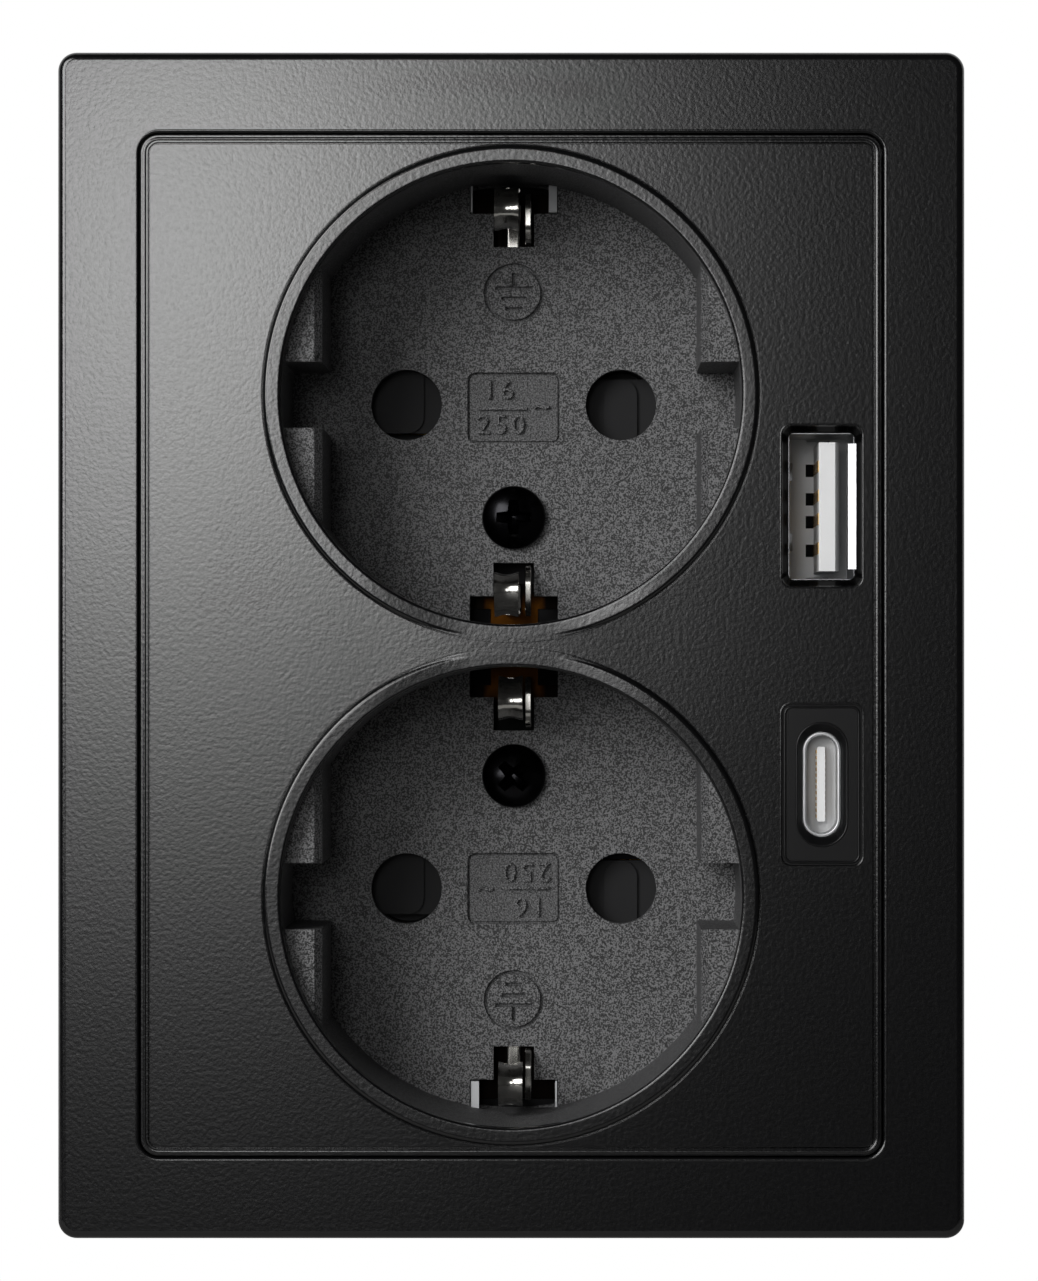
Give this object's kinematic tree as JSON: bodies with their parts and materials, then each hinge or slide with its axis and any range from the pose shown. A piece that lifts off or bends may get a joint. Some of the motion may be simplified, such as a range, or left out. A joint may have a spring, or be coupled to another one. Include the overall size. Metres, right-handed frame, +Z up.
{
  "type": "usb wall socket",
  "caption": "Flush-faced double earthed wall socket with round recessed cups, a USB-A and a USB-C charging port, and an insert body for a wall box.",
  "frame": {"origin": "halfway between the two box-screw slots, in the wall plane", "axes": "+X right, +Z up, -Y out of the wall towards the user"},
  "size_m": [0.0772, 0.0457, 0.101],
  "materials": {
    "frame_plastic": "fine satin moulded grain",
    "plate_plastic": "fine satin moulded grain, coarser in the cup floors",
    "bezel_plastic": "smooth satin",
    "shutter_plastic": "smooth moulded",
    "black_screw": "glossy black zinc",
    "insert_brass": "turned",
    "support_steel": "zinc-plated stamped sheet",
    "rivet_steel": "smooth",
    "base_plastic": "glass-filled moulding",
    "carrier_plastic": "moulded, black",
    "cover_plastic": "moulded",
    "cover_screw_steel": "zinc-plated",
    "spring_steel": "drawn",
    "contact_brass": "stamped",
    "strap_brass": "stamped, dull",
    "clip_nickel": "nickel-plated spring strip",
    "button_plastic": "moulded",
    "housing_plastic": "moulded",
    "board_laminate": "solder mask",
    "ferrite_core": "ferrite with yellow tape",
    "capacitor_can": "drawn can",
    "chip_epoxy": "moulded epoxy",
    "port_steel": "nickel-plated stamped shell",
    "tongue_plastic": "white moulded",
    "contact_gold": "gold flash",
    "lead_brass": "stamped strip"
  },
  "bodies": {
    "socket": {"outer_frame": "frame_plastic", "centre_plate": "plate_plastic", "plate_screws": "black_screw", "threaded_inserts": "insert_brass", "support_plate": "support_steel", "base_rivets": "rivet_steel", "contact_base": "base_plastic", "shutter_carrier": "carrier_plastic", "rear_cover": "cover_plastic", "cover_screws": "cover_screw_steel", "upper_outer_earth_clip": "clip_nickel", "upper_inner_earth_clip": "clip_nickel", "lower_inner_earth_clip": "clip_nickel", "lower_outer_earth_clip": "clip_nickel", "live_contact_bar": "contact_brass", "neutral_contact_bar": "contact_brass", "earth_strap": "strap_brass", "earth_terminal": "contact_brass", "live_clamp_spring": "spring_steel", "neutral_clamp_spring": "spring_steel", "earth_clamp_spring": "spring_steel", "usb_housing": "housing_plastic", "usb_circuit_board": "board_laminate", "usb_transformer": "ferrite_core", "usb_capacitor": "capacitor_can", "usb_controller_chip": "chip_epoxy", "usb_a_shell": "port_steel", "usb_a_tongue": "tongue_plastic", "usb_a_contacts": "contact_gold", "usb_c_bezel": "bezel_plastic", "usb_c_shell": "port_steel", "usb_c_tongue": "tongue_plastic", "usb_c_contacts": "contact_gold", "usb_live_lead": "lead_brass", "usb_neutral_lead": "lead_brass"},
    "upper_shutter": {"upper_shutter": "shutter_plastic", "upper_shutter_spring": "spring_steel"},
    "lower_shutter": {"lower_shutter": "shutter_plastic", "lower_shutter_spring": "spring_steel"},
    "live_button": {"live_release_button": "button_plastic"},
    "neutral_button": {"neutral_release_button": "button_plastic"},
    "earth_button": {"earth_release_button": "button_plastic"}
  },
  "joints": [
    {"name": "upper_shutter_turn", "type": "hinge", "parent": "socket", "child": "upper_shutter", "pos_m": [0, 0, 0.02143], "axis": [0, 1, 0], "range_deg": [0, 34], "stiffness_Nm_per_rad": 0.004, "springref_deg": -28.65},
    {"name": "lower_shutter_turn", "type": "hinge", "parent": "socket", "child": "lower_shutter", "pos_m": [0, 0, -0.02143], "axis": [0, 1, 0], "range_deg": [0, 34], "stiffness_Nm_per_rad": 0.004, "springref_deg": -28.65},
    {"name": "live_button_push", "type": "slide", "parent": "socket", "child": "live_button", "axis": [0, -1, 0], "range_m": [0, 0.0016], "stiffness_N_per_m": 1500, "springref_m": -0.001},
    {"name": "neutral_button_push", "type": "slide", "parent": "socket", "child": "neutral_button", "axis": [0, -1, 0], "range_m": [0, 0.0016], "stiffness_N_per_m": 1500, "springref_m": -0.001},
    {"name": "earth_button_push", "type": "slide", "parent": "socket", "child": "earth_button", "axis": [0, -1, 0], "range_m": [0, 0.0016], "stiffness_N_per_m": 1500, "springref_m": -0.001}
  ]
}
